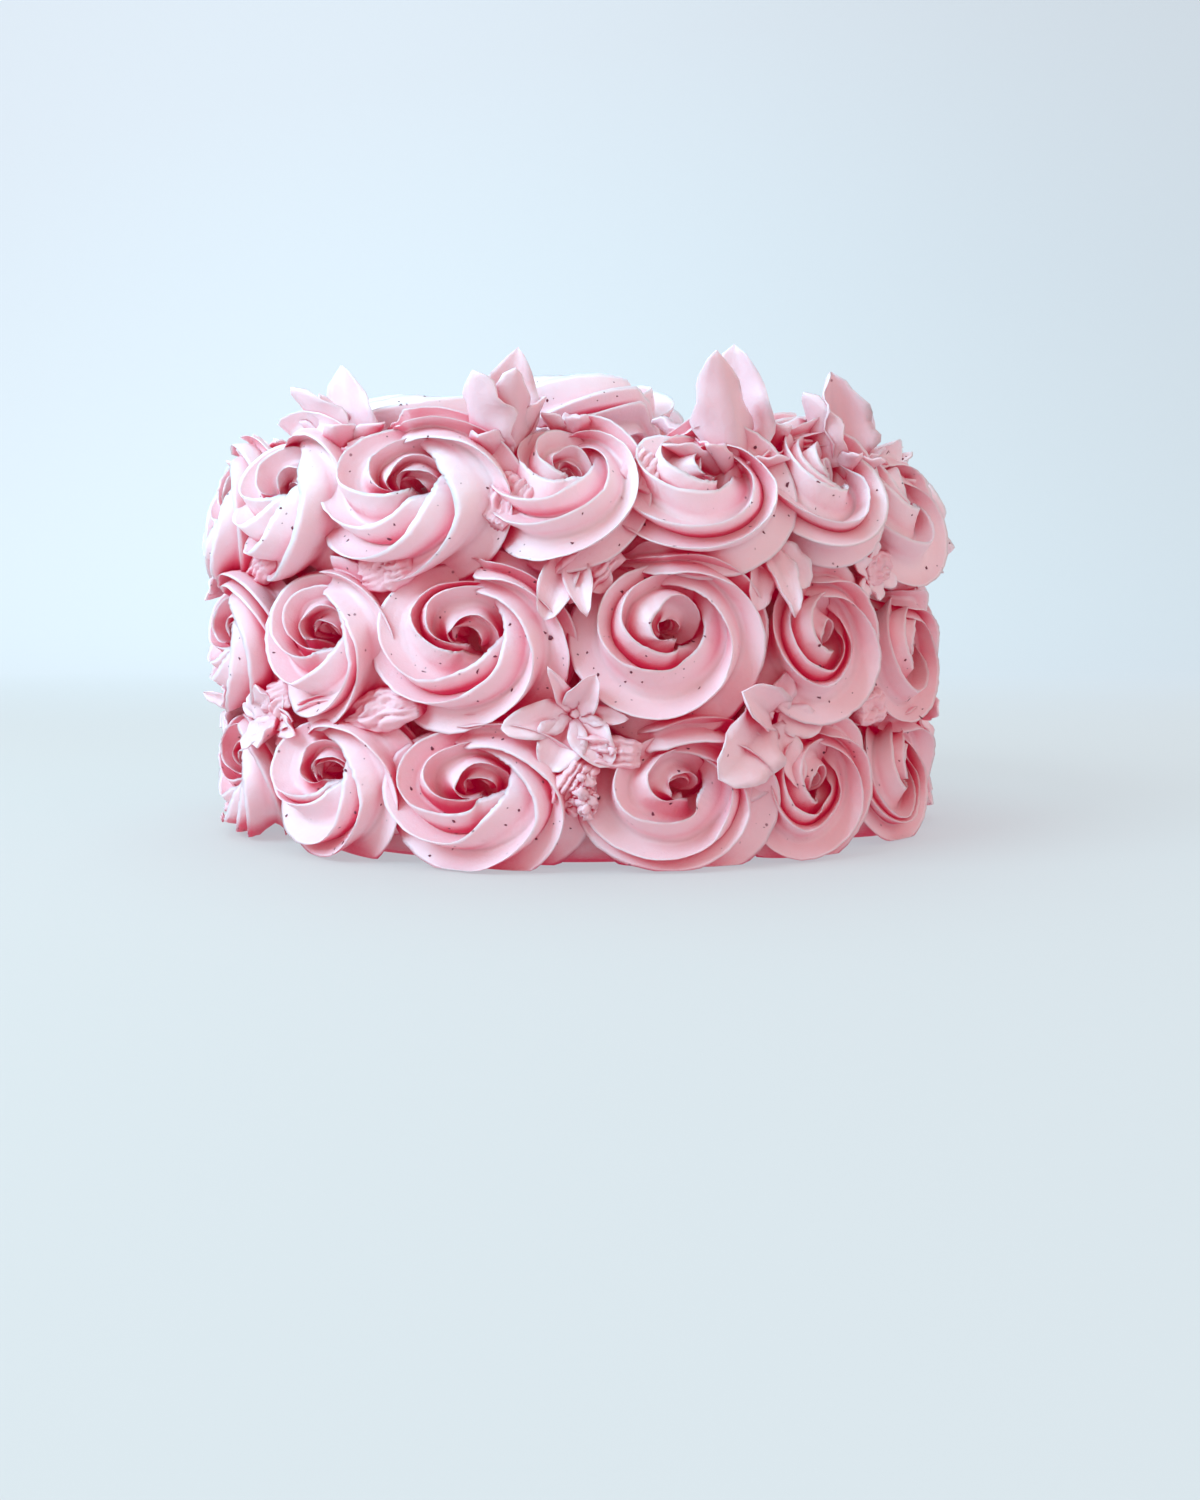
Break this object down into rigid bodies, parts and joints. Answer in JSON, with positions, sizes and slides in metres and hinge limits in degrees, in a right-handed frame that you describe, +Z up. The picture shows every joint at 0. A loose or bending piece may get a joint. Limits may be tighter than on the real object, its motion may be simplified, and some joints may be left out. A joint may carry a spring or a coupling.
{
  "type": "layer cake",
  "caption": "Round iced layer cake, its side and top covered in piped buttercream rosettes, with drop flowers in the gaps.",
  "frame": {"origin": "middle of the flat underside that the cake stands on", "axes": "+Z up, along the cake's axis; -Y towards the front that the pictured flowers face; +X to the right seen from the front"},
  "size_m": [0.1953, 0.196, 0.1112],
  "materials": {
    "piped_icing": null,
    "body_icing": null
  },
  "bodies": {
    "root": {"cake_body": "body_icing", "flower_rim_01": "piped_icing", "flower_rim_02": "piped_icing", "flower_rim_03": "piped_icing", "flower_side_01": "piped_icing", "flower_side_02": "piped_icing", "flower_side_03": "piped_icing", "flower_side_04": "piped_icing", "rosette_crown_01": "piped_icing", "rosette_crown_02": "piped_icing", "rosette_crown_03": "piped_icing", "rosette_crown_04": "piped_icing", "rosette_crown_05": "piped_icing", "rosette_crown_06": "piped_icing", "rosette_crown_07": "piped_icing", "rosette_crown_middle": "piped_icing", "rosette_high_01": "piped_icing", "rosette_high_02": "piped_icing", "rosette_high_03": "piped_icing", "rosette_high_04": "piped_icing", "rosette_high_05": "piped_icing", "rosette_high_06": "piped_icing", "rosette_high_07": "piped_icing", "rosette_high_08": "piped_icing", "rosette_high_09": "piped_icing", "rosette_high_10": "piped_icing", "rosette_high_11": "piped_icing", "rosette_high_12": "piped_icing", "rosette_high_13": "piped_icing", "rosette_high_14": "piped_icing", "rosette_high_15": "piped_icing", "rosette_high_16": "piped_icing", "rosette_low_01": "piped_icing", "rosette_low_02": "piped_icing", "rosette_low_03": "piped_icing", "rosette_low_04": "piped_icing", "rosette_low_05": "piped_icing", "rosette_low_06": "piped_icing", "rosette_low_07": "piped_icing", "rosette_low_08": "piped_icing", "rosette_low_09": "piped_icing", "rosette_low_10": "piped_icing", "rosette_low_11": "piped_icing", "rosette_low_12": "piped_icing", "rosette_low_13": "piped_icing", "rosette_low_14": "piped_icing", "rosette_middle_01": "piped_icing", "rosette_middle_02": "piped_icing", "rosette_middle_03": "piped_icing", "rosette_middle_04": "piped_icing", "rosette_middle_05": "piped_icing", "rosette_middle_06": "piped_icing", "rosette_middle_07": "piped_icing", "rosette_middle_08": "piped_icing", "rosette_middle_09": "piped_icing", "rosette_middle_10": "piped_icing", "rosette_middle_11": "piped_icing", "rosette_middle_12": "piped_icing", "rosette_middle_13": "piped_icing", "rosette_middle_14": "piped_icing"}
  },
  "joints": []
}
